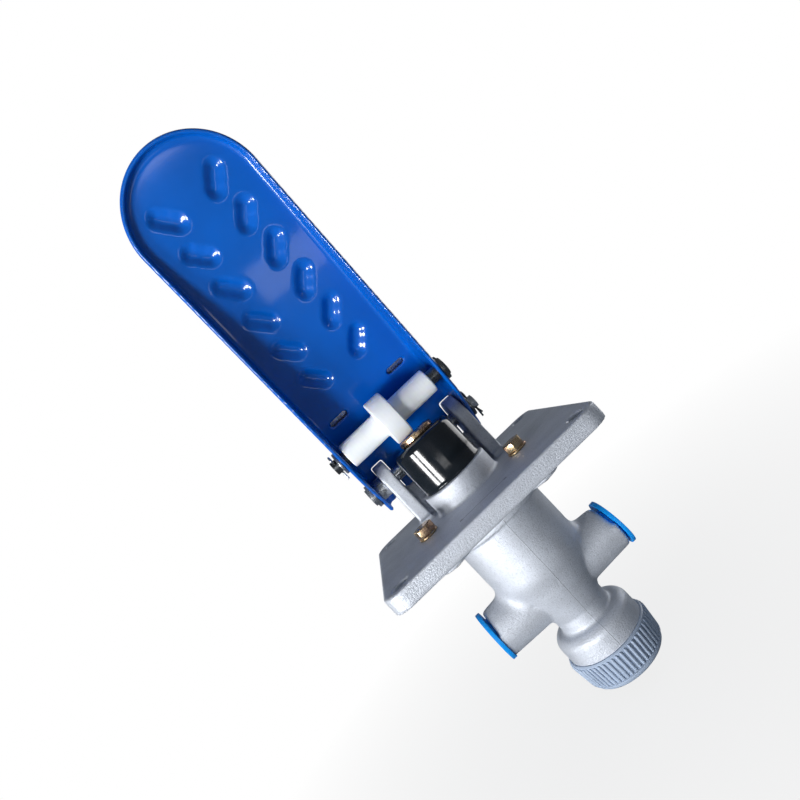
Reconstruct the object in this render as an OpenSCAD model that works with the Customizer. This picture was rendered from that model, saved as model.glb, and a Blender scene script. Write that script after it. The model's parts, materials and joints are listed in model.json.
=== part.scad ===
// Truck foot brake valve: cast valve with a floor plate, pressed pedal, roller and plunger.
// Frame: origin on the underside of the floor plate, on the valve axis. Z up towards the pedal, X along the pedal hinge.

/* [Floor plate] */
// Width and depth of the square plate
plate_w = 130; // [112:1:160]
// Thickness of the plate
plate_t = 9; // [7:0.5:12]
// Radius of the plate corners
plate_corner_r = 10; // [6:0.5:12]
// Distance of the corner holes from the edges of the plate
hole_inset = 10; // [8:0.5:14]
// Diameter of the corner holes
floor_hole_d = 9; // [7:0.1:11]
// Diameter of the collar under the rubber boot
collar_d = 41; // [40:0.5:44]
// Height of the collar above the plate
collar_h = 12; // [10:0.5:14]

/* [Hinge ears] */
// Side play between an ear and the pedal's wall
ear_play = 0.5; // [0.3:0.1:1]
// Thickness of an ear
ear_t = 7.5; // [6:0.25:7.75]
// Radius of the ear's rounded top
ear_r = 12; // [9:0.5:12]
// Distance of the hinge behind the valve axis
hinge_y = 24; // [23.5:0.25:28]
// Height of the hinge above the plate
hinge_h = 30.5; // [28:0.5:34]
// Diameter of both headed pins
pin_d = 8; // [6:0.1:8]

/* [Pedal] */
// Outer width of the pedal
pedal_w = 73; // [72.5:0.5:80]
// Thickness of the pressed steel
pedal_t = 2.2; // [1.5:0.1:2.3]
// Length from the hinge to the toe
pedal_len = 208.7; // [190:0.5:230]
// Lean of the pedal from the valve axis when it is at rest, in degrees
pedal_lean = 23.3; // [20:0.1:26]
// Sideways place of the pedal on its hinge
pedal_x = -2.8; // [-3:0.1:-2.6]
// Depth of the side walls at the toe
wall_toe = 8; // [6:0.5:10]
// Depth of the side walls at the roller
wall_root = 27.3; // [26:0.5:30]
// Spacing of the grip beads
bead_pitch = 21.45; // [20:0.25:22]
// Length of a grip bead
bead_len = 18; // [14:0.5:19]
// Width of a grip bead
bead_w = 7; // [5:0.5:8]

/* [Roller and plunger] */
// Diameter of the nylon roller
roller_d = 28.6; // [26:0.2:29]
// Width of the roller's running band
roller_w = 10.8; // [8:0.2:14]
// Diameter of the roller's long hubs
hub_d = 14.8; // [13:0.2:16]
// Gap between the roller's left end and the pedal's wall
roller_gap_left = 2.05; // [0.5:0.05:4]
// Gap between the roller's right end and the pedal's wall
roller_gap_right = 6.05; // [4:0.05:8]
// Diameter of the plunger's head
head_d = 21.6; // [20:0.2:24]
// Thickness of the plunger's head
head_t = 3; // [2:0.25:4]
// Outer diameter of the rubber boot
boot_d = 38; // [37:0.5:40]

/* [Valve body] */
// Diameter of the body below the plate
body_d = 54.4; // [52:0.2:58]
// Diameter of the piston bore
bore_d = 44; // [40:0.5:45]
// Thickness of the body's bolting flange
flange_t = 10; // [8:0.5:14]
// Radius of the circle through the three flange bolts
bolt_ring_r = 36; // [35.5:0.25:37]
// Distance of the port axis below the plate
port_drop = 57; // [56.5:0.25:58]
// Distance from the valve axis to the end of a port
port_reach = 42.3; // [40:0.5:48]
// Bore of each air port
port_bore_d = 20.4; // [18:0.1:21]
// Depth of each air port's bore
port_depth = 14.3; // [12:0.1:16]
// Diameter of the exhaust skirt
skirt_d = 46.4; // [44:0.2:47]
// Diameter of the ribbed silencer cap over its ribs
cap_d = 51; // [50:0.5:54]
// Number of ribs on the silencer cap
cap_ribs = 56; // [40:1:60]

/* [Hidden] */
$fn = 72;

// Clearances, and the overlap that joins two bodies of one piece
run = 0.04;
snug = 0.03;
loose = 0.4;
rest_gap = 0.3;
e = 0.01;

// Floor plate
floor_pitch = plate_w - 2 * hole_inset;
top_z = plate_t;
seat_depth = 0.5;
groove_w = 24;
groove_t = 0.9;
groove_depth = 0.35;
groove_y = 19 - plate_w / 2;
collar_top = top_z + collar_h;
spigot_h = 6;
spigot_r = 16.7;
ceiling_z = top_z + 8;
guide_r = 10.05;
cup_r = 15;

// Hinge and roller pins
hinge_z = top_z + hinge_h;
ear_foot = 3;
pin_r = pin_d / 2;
pin_u = -9.25;
pin_v = 32.85;
roller_y = hinge_y + pin_u * cos(pedal_lean) - pin_v * sin(pedal_lean);
roller_z = hinge_z + pin_u * sin(pedal_lean) + pin_v * cos(pedal_lean);
head_z = roller_z - roller_d / 2 - rest_gap;
pin_tail = 5.4;
pin_head_r = 7.4;
pin_head_t = 2;
pin_dome_r = 5.6;
pin_dome_t = 3.2;
pin_gap = 0.1;
pin_washer_t = 1.6;
pin_washer_r = 6.8;
spacer_r = 6.3;
split_in = 2.1;
split_r = 1.1;
split_len = 11;
split_leg_r = 0.7;
split_leg_len = 6.4;
split_spread = 38;
eye_r = 2;
eye_wire_r = 0.8;
roller_split_turn = 25;
hinge_split_turn = -20;

// Boot and plunger
boot_top = head_z - head_t;
boot_wall = 2;
boot_shoulder = 4;
boot_lip = 2.7;
plunger_cup_r = cup_r - 0.5;
plunger_cup_t = 4;
plunger_nose_r = 8;
plunger_bore_r = 5;

// Pedal: u is out of the foot side, v is towards the toe
web_u = 8.1;
web_low = 12;
toe_r = pedal_w / 2;
toe_v = pedal_len - toe_r;
pedal_left = pedal_x - pedal_w / 2;
pedal_right = pedal_x + pedal_w / 2;
bead_rows = 6;
bead_top = toe_v + 6.6;
bead_x = toe_r - 21.4;
bead_turn = 50;
bead_rise = 1.6;
slot_x = toe_r - 14.8;
slot_w = 13.4;
slot_h = 4;
slot_v = 43.4;
ear_out = pedal_right - pedal_t - ear_play;
ear_x = ear_out - ear_t;
roller_x0 = pedal_left + pedal_t + roller_gap_left;
roller_x1 = pedal_right - pedal_t - roller_gap_right;
roller_x = (roller_x0 + roller_x1) / 2;

// Valve body
gasket_t = 1;
body_top = seat_depth - gasket_t;
flange_r = 32;
lobe_r = 9;
body_r = body_d / 2;
bore_r = bore_d / 2;
chamber_floor = -36;
seat_t = 4;
seat_r = 8;
inlet_top = chamber_floor - seat_t;
inlet_r = 12.5;
taper_top = -43;
body_low = -73;
neck_r = 15.5;
skirt_top = -82;
skirt_low = -99;
skirt_r = skirt_d / 2;
skirt_in = 20;
skirt_shoulder = 5;
port_z = -port_drop;
port_r0 = 15.3;
port_r1 = 13.6;
port_floor = port_reach - port_depth;
port_way_r = 6;
passage_x = 18.5;
passage_r = 3.8;
plug_rim_r = port_r1 + 0.9;
plug_rim_t = 1.8;
plug_len = 8;
plug_r = port_bore_d / 2 - 0.5;
plug_wall = 1.3;
plug_lean = 3;

// Pieces inside the body
piston_top = -5;
piston_t = 8;
piston_cup_r = 13.4;
piston_stem_r = 6.4;
piston_ring_r = 1.15;
ring_groove_z = piston_top - 4.5;
ring_groove_w = 3;
grading_r = 11;
grading_wire = 3.4;
return_r = 11.5;
return_wire = 2.2;
lift = 1.5;
seal_z = inlet_top - 1;
seal_t = 2;
seal_out = 10.4;
valve_t = 1.5;
valve_neck_r = 4.3;
valve_stem_r = 6;
valve_bore_r = 3.2;
valve_spring_r = 8.6;
valve_wire = 1.6;
guide_top = -64;
guide_low = -76;
guide_groove_z = guide_low + 6;
guide_ring_r = 1.05;
clip_t = 1.2;
clip_gap = 5;

// Silencer
cap_top = -95.5;
cap_low = -120;
cap_floor = 2;
cap_wall = 3.5;
rib_low = -113.5;
rib_w = 1.5;
rib_h = 0.9;
cap_r = cap_d / 2;
post_r = 4;
post_tip_r = 2;
flap_z = -102;
flap_t = 1.5;
flap_r = 18;
pad_top = -106;
slot_in = 9;
slot_long = 10;
slot_wide = 3;

// Flange bolts and washers
bolt_r = 4;
bolt_head_af = 13;
bolt_head_h = 5.3;
bolt_end = 1.5;
washer_t = 1.6;
washer_r = 7.9;
BOLT_ANGLES = [90, 210, 330];

// Helpers

module at_bolts() {
    for (a = BOLT_ANGLES)
        rotate([0, 0, a])
            translate([bolt_ring_r, 0, 0])
                children();
}

module along_x(x0, x1, r) {
    translate([x0, 0, 0])
        rotate([0, 90, 0])
            cylinder(h = x1 - x0, r = r);
}

module ring(z0, z1, r_in, r_out) {
    translate([0, 0, z0])
        difference() {
            cylinder(h = z1 - z0, r = r_out);
            translate([0, 0, -1])
                cylinder(h = z1 - z0 + 2, r = r_in);
        }
}

module disc(z0, z1, r) {
    translate([0, 0, z0])
        cylinder(h = z1 - z0, r = r);
}

module torus(z, r, w) {
    translate([0, 0, z])
        rotate_extrude()
            translate([r, 0])
                circle(r = w, $fn = 24);
}

// A round wire cut by a level plane: the outline that a twisted extrusion turns into a coil.
module coil(z0, z1, r, wire, turns) {
    n = 6;
    pitch = (z1 - z0) / turns;
    half = 360 * wire / 2 / pitch * 0.998;
    outer = [for (i = [0:n]) let (a = -half + 2 * half * i / n, d = sqrt(max(0, 1 - pow(a / half, 2))))
        [(r + wire / 2 * d) * cos(a), (r + wire / 2 * d) * sin(a)]];
    inner = [for (i = [1:n - 1]) let (a = half - 2 * half * i / n, d = sqrt(max(0, 1 - pow(a / half, 2))))
        [(r - wire / 2 * d) * cos(a), (r - wire / 2 * d) * sin(a)]];
    translate([0, 0, z0])
        linear_extrude(height = z1 - z0, twist = -360 * turns, slices = turns * 14, $fn = 8)
            polygon(concat(outer, inner));
}

module on_hinge() {
    translate([0, hinge_y, hinge_z])
        rotate([pedal_lean, 0, 0])
            children();
}

module on_roller_pin() {
    on_hinge()
        translate([0, pin_u, pin_v])
            children();
}

// Floor plate casting

module ear_shape() {
    translate([hinge_y, hinge_z])
        circle(r = ear_r);
    translate([hinge_y - ear_r, top_z - 1])
        square([2 * ear_r, hinge_h + 1]);
    translate([hinge_y - ear_r - ear_foot, top_z - 1])
        square([2 * (ear_r + ear_foot), ear_foot + 1]);
}

module ear(x0) {
    translate([x0, 0, 0])
        rotate([90, 0, 90])
            linear_extrude(height = ear_t)
                ear_shape();
}

module plate_outline() {
    c = plate_w / 2 - plate_corner_r;
    square([plate_w, 2 * c], center = true);
    square([2 * c, plate_w], center = true);
    for (x = [-c, c], y = [-c, c])
        translate([x, y])
            circle(r = plate_corner_r);
}

module mounting_plate() {
    color([0.78, 0.80, 0.84])
        difference() {
            union() {
                linear_extrude(height = plate_t)
                    plate_outline();
                disc(top_z - 1, collar_top, collar_d / 2);
                disc(collar_top - 1, collar_top + spigot_h, spigot_r);
                ear(ear_x);
                ear(-ear_out);
            }
            disc(-1, ceiling_z, cup_r);
            disc(-2, collar_top + spigot_h + 1, guide_r);
            for (x = [-1, 1], y = [-1, 1])
                translate([x * floor_pitch / 2, y * floor_pitch / 2, -1])
                    cylinder(h = plate_t + 2, d = floor_hole_d);
            at_bolts()
                translate([0, 0, -1])
                    cylinder(h = plate_t + 2, r = bolt_r + loose);
            translate([-ear_out - 1, hinge_y, hinge_z])
                rotate([0, 90, 0])
                    cylinder(h = 2 * ear_out + 2, r = pin_r + snug);
            translate([-groove_w / 2, groove_y, top_z - groove_depth])
                cube([groove_w, groove_t, 1]);
            translate([0, 0, -1])
                linear_extrude(height = 1 + seat_depth)
                    offset(delta = loose)
                        flange_outline();
        }
}

module body_gasket() {
    color([0.25, 0.24, 0.22])
        difference() {
            translate([0, 0, body_top])
                linear_extrude(height = gasket_t)
                    flange_outline();
            disc(body_top - 1, seat_depth + 1, bore_r + loose);
            at_bolts()
                translate([0, 0, body_top - 1])
                    cylinder(h = gasket_t + 2, r = bolt_r + loose);
        }
}

// Valve body casting

module flange_outline() {
    circle(r = flange_r);
    at_bolts()
        circle(r = lobe_r);
    for (a = BOLT_ANGLES)
        rotate([0, 0, a])
            translate([0, -lobe_r])
                square([bolt_ring_r, 2 * lobe_r]);
}

module valve_body() {
    color([0.76, 0.78, 0.82])
        difference() {
            union() {
                translate([0, 0, body_top - flange_t])
                    linear_extrude(height = flange_t)
                        flange_outline();
                disc(taper_top, body_top - 1, body_r);
                translate([0, 0, body_low])
                    cylinder(h = taper_top - body_low, r1 = neck_r + 0.6, r2 = body_r);
                disc(skirt_top - 1, body_low + 1, neck_r);
                translate([0, 0, skirt_low])
                    rotate_extrude()
                        skirt_shape();
                for (s = [-1, 1])
                    translate([0, 0, port_z])
                        rotate([0, s * 90, 0])
                            cylinder(h = port_reach, r1 = port_r0, r2 = port_r1);
            }
            disc(chamber_floor, 1, bore_r);
            disc(inlet_top - 2, chamber_floor + 1, seat_r);
            difference() {
                disc(skirt_top - 4, inlet_top, inlet_r);
                ring(inlet_top - 1, inlet_top + 1, seat_r, seat_r + 1.3);
            }
            disc(skirt_low - 1, skirt_top - 3, skirt_in);
            disc(guide_low - clip_t, guide_low, inlet_r + 0.9);
            translate([0, 0, port_z]) {
                along_x(-port_reach - 1, -port_floor, port_bore_d / 2);
                along_x(port_floor, port_reach + 1, port_bore_d / 2);
                along_x(-port_floor - 1, -seat_r, port_way_r);
                along_x(passage_x, port_floor + 1, port_way_r);
            }
            translate([passage_x, 0, port_z])
                cylinder(h = chamber_floor - port_z + 1, r = passage_r);
            at_bolts()
                translate([0, 0, body_top - flange_t - 1])
                    cylinder(h = flange_t + 2, r = bolt_r + snug);
        }
}

module skirt_shape() {
    h = skirt_top - skirt_low;
    square([skirt_r - skirt_shoulder, h]);
    square([skirt_r, h - skirt_shoulder]);
    translate([skirt_r - skirt_shoulder, h - skirt_shoulder])
        circle(r = skirt_shoulder);
}

// Fasteners of the flange

module flange_bolts() {
    color([0.85, 0.72, 0.38])
        at_bolts() {
            translate([0, 0, top_z + washer_t])
                rotate([0, 0, 30])
                    cylinder(h = bolt_head_h, d = bolt_head_af / cos(30), $fn = 6);
            translate([0, 0, body_top - flange_t - bolt_end])
                cylinder(h = flange_t + top_z + washer_t + bolt_end - body_top + e, r = bolt_r);
        }
}

module flange_washers() {
    color([0.85, 0.74, 0.42])
        at_bolts()
            ring(top_z, top_z + washer_t, bolt_r + loose / 2, washer_r);
}

// Boot and plunger

module boot_shape(r, h, k) {
    square([r - k, h]);
    square([r, h - k]);
    translate([r - k, h - k])
        circle(r = k);
}

module rubber_boot() {
    h = boot_top - collar_top;
    color([0.09, 0.11, 0.13])
        translate([0, 0, collar_top])
            difference() {
                rotate_extrude()
                    boot_shape(boot_d / 2, h, boot_shoulder);
                translate([0, 0, -1])
                    rotate_extrude()
                        boot_shape(boot_d / 2 - boot_wall, h - boot_wall + 1, boot_shoulder - 1.5);
                translate([0, 0, -2])
                    cylinder(h = h + 4, r = head_d / 2 - boot_lip);
            }
}

module plunger() {
    color([0.82, 0.76, 0.55])
        difference() {
            union() {
                disc(boot_top, head_z, head_d / 2);
                disc(boot_top - boot_wall - 1, boot_top + 1, head_d / 2 - boot_lip - pin_gap);
                disc(ceiling_z - 1, boot_top - boot_wall - 0.6, guide_r - run);
                disc(ceiling_z - plunger_cup_t, ceiling_z, plunger_cup_r);
                disc(ceiling_z - plunger_cup_t - 3, ceiling_z - plunger_cup_t + 1, plunger_nose_r);
            }
            disc(ceiling_z - plunger_cup_t - 4, ceiling_z + 10, plunger_bore_r);
        }
}

module graduating_spring() {
    color([0.62, 0.64, 0.67])
        coil(piston_top - 2, ceiling_z - plunger_cup_t, grading_r, grading_wire, 3.5);
}

// Piston group

module piston() {
    color([0.74, 0.76, 0.80])
        difference() {
            union() {
                disc(piston_top - piston_t, piston_top, bore_r - 0.05);
                disc(seal_z + lift, piston_top - 2, piston_stem_r);
            }
            disc(piston_top - 2, piston_top + 1, piston_cup_r);
            disc(seal_z + lift - 1, seal_z + lift + 6, valve_neck_r - loose);
            ring(ring_groove_z - ring_groove_w / 2, ring_groove_z + ring_groove_w / 2, bore_r - 2.4, bore_r + 1);
        }
}

module piston_ring() {
    color([0.08, 0.08, 0.09])
        torus(ring_groove_z, bore_r - piston_ring_r - 0.05, piston_ring_r);
}

module return_spring() {
    color([0.62, 0.64, 0.67])
        coil(chamber_floor, piston_top - piston_t, return_r, return_wire, 4.5);
}

// Inlet and exhaust valve

module inlet_valve() {
    color([0.72, 0.62, 0.32])
        difference() {
            union() {
                disc(seal_z - seal_t - valve_t, seal_z - seal_t, seal_out);
                disc(guide_low - 2, seal_z - seal_t - 1, valve_stem_r);
                disc(seal_z - seal_t - 1, seal_z - loose, valve_neck_r);
            }
            disc(guide_low - 3, seal_z + 1, valve_bore_r);
        }
}

module valve_seal() {
    color([0.10, 0.10, 0.11])
        ring(seal_z - seal_t, seal_z, valve_neck_r + 0.05, seal_out);
}

module valve_spring() {
    color([0.62, 0.64, 0.67])
        coil(guide_top, seal_z - seal_t - valve_t, valve_spring_r, valve_wire, 5);
}

module valve_guide() {
    groove_low = guide_groove_z - ring_groove_w / 2;
    groove_high = guide_groove_z + ring_groove_w / 2;
    color([0.76, 0.66, 0.36])
        difference() {
            ring(guide_low, guide_top, valve_stem_r + run, inlet_r - 0.05);
            ring(groove_low, groove_high, inlet_r - 2.2, inlet_r + 1);
            ring(groove_low, groove_high, valve_stem_r - 1, valve_stem_r + 2.2);
        }
}

module guide_ring() {
    color([0.08, 0.08, 0.09])
        torus(guide_groove_z, inlet_r - guide_ring_r - 0.05, guide_ring_r);
}

module stem_ring() {
    color([0.08, 0.08, 0.09])
        torus(guide_groove_z, valve_stem_r + guide_ring_r + 0.1, guide_ring_r);
}

module retaining_clip() {
    color([0.20, 0.20, 0.22])
        difference() {
            ring(guide_low - clip_t, guide_low, inlet_r - 2.1, inlet_r + 0.8);
            translate([0, -clip_gap / 2, guide_low - clip_t - 1])
                cube([inlet_r + 2, clip_gap, clip_t + 2]);
        }
}

// Exhaust end

module exhaust_flap() {
    color([0.10, 0.10, 0.11])
        ring(flap_z, flap_z + flap_t, post_tip_r + 0.05, flap_r);
}

module silencer_pad() {
    color([0.55, 0.55, 0.52])
        ring(cap_low + cap_floor, pad_top, post_r + rest_gap, cap_r - cap_wall - 0.1);
}

module cap_ring_shape() {
    circle(r = cap_r - rib_h);
    for (i = [0:cap_ribs - 1])
        rotate(i * 360 / cap_ribs)
            translate([cap_r - 2, -rib_w / 2])
                square([2, rib_w]);
}

module silencer_cap() {
    color([0.52, 0.57, 0.65])
        difference() {
            union() {
                translate([0, 0, rib_low])
                    linear_extrude(height = cap_top - 1 - rib_low)
                        cap_ring_shape();
                disc(cap_top - 1.5, cap_top, cap_r - 1);
                disc(cap_low + 2, rib_low + 0.5, cap_r);
                translate([0, 0, cap_low])
                    cylinder(h = 2, r1 = cap_r - 2, r2 = cap_r);
            }
            disc(skirt_low, cap_top + 1, skirt_r + 0.05);
            difference() {
                disc(cap_low + cap_floor, skirt_low + 1, cap_r - cap_wall);
                disc(cap_low, flap_z, post_r);
                disc(cap_low, flap_z + flap_t + 1, post_tip_r);
            }
            for (a = [0:45:315])
                rotate([0, 0, a])
                    translate([slot_in, -slot_wide / 2, cap_low - 1])
                        cube([slot_long, slot_wide, cap_floor + 2]);
        }
}

// Port plugs

module plug() {
    difference() {
        union() {
            along_x(0, plug_rim_t, plug_rim_r);
            along_x(-plug_len, e, plug_r);
        }
        along_x(-plug_len - 1, plug_rim_t / 3, plug_r - plug_wall);
    }
}

module left_plug() {
    color([0.04, 0.58, 0.94])
        translate([-port_reach, 0, port_z])
            rotate([0, 0, 180])
                plug();
}

module right_plug() {
    color([0.04, 0.58, 0.94])
        translate([port_reach + 0.05, 0, port_z + port_r1])
            rotate([0, -plug_lean, 0])
                translate([0, 0, -port_r1])
                    plug();
}

// Pedal

module pedal_outline(inset) {
    translate([0, toe_v])
        circle(r = toe_r - inset);
    translate([-toe_r + inset, -30])
        square([pedal_w - 2 * inset, toe_v + 30]);
}

module tray(inset, u0, u1) {
    translate([0, u1, 0])
        rotate([90, 0, 0])
            linear_extrude(height = u1 - u0)
                pedal_outline(inset);
}

module side_shape() {
    back = web_u + pedal_t;
    root = back - wall_root;
    polygon([[back, pedal_len + 1], [back, web_low], [web_u - e, web_low], [web_u - e, -5], [3, -16.5],
        [-1, -16.5], [root + 4, 10], [root, 18], [root, 42], [back - wall_toe, toe_v - 6],
        [back - wall_toe, pedal_len + 1]]);
}

module bead_body(r) {
    translate([-bead_len / 2 + r, 0, 0])
        sphere(r = r, $fn = 32);
    translate([bead_len / 2 - r, 0, 0])
        sphere(r = r, $fn = 32);
    along_x(-bead_len / 2 + r, bead_len / 2 - r, r);
}

module at_beads() {
    for (i = [0:bead_rows - 1], s = [-1, 1])
        translate([s * bead_x, 0, bead_top - i * bead_pitch])
            rotate([0, -s * bead_turn, 0])
                children();
}

module pedal() {
    color([0.02, 0.25, 0.70])
        on_hinge()
            translate([pedal_x, 0, 0])
                difference() {
                    union() {
                        intersection() {
                            difference() {
                                tray(0, -40, web_u + pedal_t);
                                tray(pedal_t, -41, web_u);
                            }
                            translate([-pedal_w, 0, 0])
                                rotate([90, 0, 90])
                                    linear_extrude(height = 2 * pedal_w)
                                        side_shape();
                        }
                        intersection() {
                            at_beads()
                                translate([0, web_u + pedal_t - bead_rise, 0])
                                    bead_body(bead_w / 2);
                            translate([-pedal_w / 2, web_u + 0.5, 0])
                                cube([pedal_w, 8, pedal_len]);
                        }
                    }
                    at_beads()
                        translate([0, web_u - 1.2, 0])
                            bead_body(bead_w / 2 - 0.3);
                    for (s = [-1, 1])
                        translate([s * slot_x - slot_w / 2, web_u - 1, slot_v])
                            cube([slot_w, pedal_t + 2, slot_h]);
                    along_x(-pedal_w, pedal_w, pin_r + run);
                    translate([0, pin_u, pin_v])
                        along_x(-pedal_w, pedal_w, pin_r + snug);
                }
}

// Roller

module roller() {
    color([0.93, 0.95, 0.98])
        on_roller_pin()
            difference() {
                union() {
                    along_x(roller_x0, roller_x1, hub_d / 2);
                    along_x(roller_x - roller_w / 2, roller_x + roller_w / 2, roller_d / 2);
                }
                along_x(roller_x0 - 1, roller_x1 + 1, pin_r + 2 * run);
            }
}

// Pins

module headed_pin(x_head, x_end, s, turn) {
    difference() {
        union() {
            along_x(min(x_head, x_end), max(x_head, x_end), pin_r);
            along_x(min(x_head, x_head + s * pin_head_t), max(x_head, x_head + s * pin_head_t), pin_head_r);
            along_x(min(x_head, x_head + s * pin_dome_t), max(x_head, x_head + s * pin_dome_t), pin_dome_r);
        }
        translate([x_end + s * split_in, 0, 0])
            rotate([turn, 0, 0])
                cylinder(h = 2 * split_len, r = split_r + 0.15, center = true);
    }
}

module split_pin() {
    cylinder(h = split_len, r = split_r, center = true);
    translate([0, 0, split_len / 2 + 1.7])
        rotate([0, 90, 0])
            torus(0, eye_r, eye_wire_r);
    for (s = [-1, 1])
        translate([0, 0, 0.3 - split_len / 2])
            rotate([s * split_spread, 0, 0])
                translate([0, 0, loose - split_leg_len])
                    cylinder(h = split_leg_len, r = split_leg_r);
}

module x_washer(x0, t) {
    difference() {
        along_x(x0, x0 + t, pin_washer_r);
        along_x(x0 - 1, x0 + t + 1, pin_r + 0.15);
    }
}

module roller_pin() {
    color([0.38, 0.39, 0.38])
        on_roller_pin()
            headed_pin(pedal_right + pin_gap, pedal_left - pin_tail, 1, roller_split_turn);
}

module roller_pin_washer() {
    color([0.66, 0.67, 0.68])
        on_roller_pin()
            x_washer(pedal_left - pin_gap - pin_washer_t, pin_washer_t);
}

module roller_split_pin() {
    color([0.74, 0.75, 0.76])
        on_roller_pin()
            translate([pedal_left - pin_tail + split_in, 0, 0])
                rotate([roller_split_turn, 0, 0])
                    split_pin();
}

module hinge_pin() {
    color([0.78, 0.79, 0.80])
        translate([0, hinge_y, hinge_z])
            headed_pin(pedal_left - pin_gap, pedal_right + pin_tail, -1, hinge_split_turn);
}

module hinge_spacer() {
    color([0.55, 0.55, 0.55])
        translate([0, hinge_y, hinge_z])
            difference() {
                along_x(pedal_left + pedal_t + pin_gap, -ear_out - pin_gap, spacer_r);
                along_x(pedal_left, 0, pin_r + 2 * run);
            }
}

module hinge_washer() {
    color([0.22, 0.22, 0.23])
        translate([0, hinge_y, hinge_z])
            x_washer(pedal_right + pin_gap, pin_washer_t);
}

module hinge_split_pin() {
    color([0.25, 0.25, 0.26])
        translate([pedal_right + pin_tail - split_in, hinge_y, hinge_z])
            rotate([hinge_split_turn, 0, 0])
                split_pin();
}

// One line per node

mounting_plate();
body_gasket();
valve_body();
flange_bolts();
flange_washers();
rubber_boot();
plunger();
graduating_spring();
piston();
piston_ring();
return_spring();
inlet_valve();
valve_seal();
valve_spring();
valve_guide();
guide_ring();
stem_ring();
retaining_clip();
exhaust_flap();
silencer_pad();
silencer_cap();
left_plug();
right_plug();
pedal();
roller();
roller_pin();
roller_pin_washer();
roller_split_pin();
hinge_pin();
hinge_spacer();
hinge_washer();
hinge_split_pin();
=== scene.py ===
"""Truck foot brake valve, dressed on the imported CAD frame. All lengths in the script are in metres."""

import json
import math

import bpy
from mathutils import Matrix, Vector


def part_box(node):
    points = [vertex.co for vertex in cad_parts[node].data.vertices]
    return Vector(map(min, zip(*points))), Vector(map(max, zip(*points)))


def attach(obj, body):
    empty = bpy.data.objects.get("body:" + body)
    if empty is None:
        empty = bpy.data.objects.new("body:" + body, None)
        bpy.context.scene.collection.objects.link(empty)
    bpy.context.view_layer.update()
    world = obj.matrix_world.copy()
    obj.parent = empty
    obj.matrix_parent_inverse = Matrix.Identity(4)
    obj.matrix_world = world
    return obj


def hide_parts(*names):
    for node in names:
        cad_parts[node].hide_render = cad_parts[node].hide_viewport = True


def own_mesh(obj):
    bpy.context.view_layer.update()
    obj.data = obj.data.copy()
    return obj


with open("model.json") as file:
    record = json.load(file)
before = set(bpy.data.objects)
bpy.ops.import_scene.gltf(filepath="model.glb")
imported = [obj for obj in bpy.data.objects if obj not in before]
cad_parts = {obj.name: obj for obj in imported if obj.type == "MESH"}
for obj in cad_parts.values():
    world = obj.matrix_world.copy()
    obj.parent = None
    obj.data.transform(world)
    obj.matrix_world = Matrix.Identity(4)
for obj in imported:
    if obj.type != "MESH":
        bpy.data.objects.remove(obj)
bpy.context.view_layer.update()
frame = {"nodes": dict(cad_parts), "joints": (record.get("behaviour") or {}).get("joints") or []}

bl_info = {
    "name": "Truck foot brake valve",
    "version": (1, 0, 0),
    "blender": (4, 5, 0),
    "location": "View3D > Sidebar > Brake valve",
    "description": "Models the visible pieces of a foot brake valve and lights them",
    "category": "Object",
}

MM = 0.001

# Places that the CAD model fixes

PLATE_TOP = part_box("flange_washers")[0].z
HINGE = Vector(frame["joints"][0]["pos_m"])
ROLLER_PIN = Vector(frame["joints"][1]["pos_m"])
PEDAL_LEAN = math.radians(23.3)
PORT_Z = -57 * MM

RIB_COUNT = 56
PLUG_RIM_START = 13 * MM


def linear(hex_colour):
    """Turns an sRGB hex colour into the linear values that Blender's shaders read."""
    channels = [int(hex_colour[i : i + 2], 16) / 255 for i in (1, 3, 5)]
    return tuple(c / 12.92 if c <= 0.04045 else ((c + 0.055) / 1.055) ** 2.4 for c in channels)


def length_property(name, description, millimetres):
    return bpy.props.FloatProperty(
        name=name,
        description=description,
        default=millimetres * MM,
        min=0.0,
        unit="LENGTH",
        subtype="DISTANCE",
    )


def colour_property(name, description, hex_colour):
    return bpy.props.FloatVectorProperty(
        name=name,
        description=description,
        default=linear(hex_colour),
        size=3,
        min=0.0,
        max=1.0,
        subtype="COLOR",
    )


class BrakeValveSizes(bpy.types.PropertyGroup):
    """Sizes of the visible pieces"""

    casting_grain: length_property("Casting grain", "Voxel size that rounds the castings", 0.85)
    tray_voxel: length_property("Tray voxel", "Voxel size of the pressed pedal", 0.75)
    tray_bend: length_property("Tray bend", "Outer radius of the bend between the web and the walls", 4.5)
    bead_depth: length_property("Bead depth", "How far a grip bead is pressed out of the web", 2.6)
    bead_reach: length_property("Bead reach", "How far round a bead's core the sheet is drawn with it", 5.2)
    head_flats: length_property("Bolt head", "Width across the flats of a flange bolt's head", 10.0)
    edge: length_property("Edge", "Rounding of machined and turned edges", 0.4)
    rib_radius: length_property("Rib radius", "Radius of a rib on the silencer cap", 0.85)
    boot_shoulder: length_property("Boot shoulder", "Radius of the boot's shoulder", 4.0)
    wire: length_property("Split pin wire", "Thickness of a split pin's leg", 1.6)


class BrakeValveColours(bpy.types.PropertyGroup):
    """Colours of the visible materials"""

    enamel: colour_property("Enamel", "Blue stove enamel of the pedal", "#0060C6")
    casting: colour_property("Casting", "Shot-blasted cast aluminium", "#D3D8E1")
    rubber: colour_property("Rubber", "Black rubber of the boot", "#10161C")
    nylon: colour_property("Nylon", "White nylon of the roller", "#F2F6FB")
    plug: colour_property("Plug", "Azure polythene of the port plugs", "#0A98F2")
    cap: colour_property("Cap", "Grey plastic of the silencer cap", "#A4B3C8")
    zinc: colour_property("Zinc", "Yellow chromate on zinc plate", "#D2BA90")


def sizes():
    return bpy.context.scene.brake_valve_sizes


def colours():
    return bpy.context.scene.brake_valve_colours


# Mesh helpers


def deselect():
    if bpy.context.mode != "OBJECT":
        bpy.ops.object.mode_set(mode="OBJECT")
    bpy.ops.object.select_all(action="DESELECT")


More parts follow.
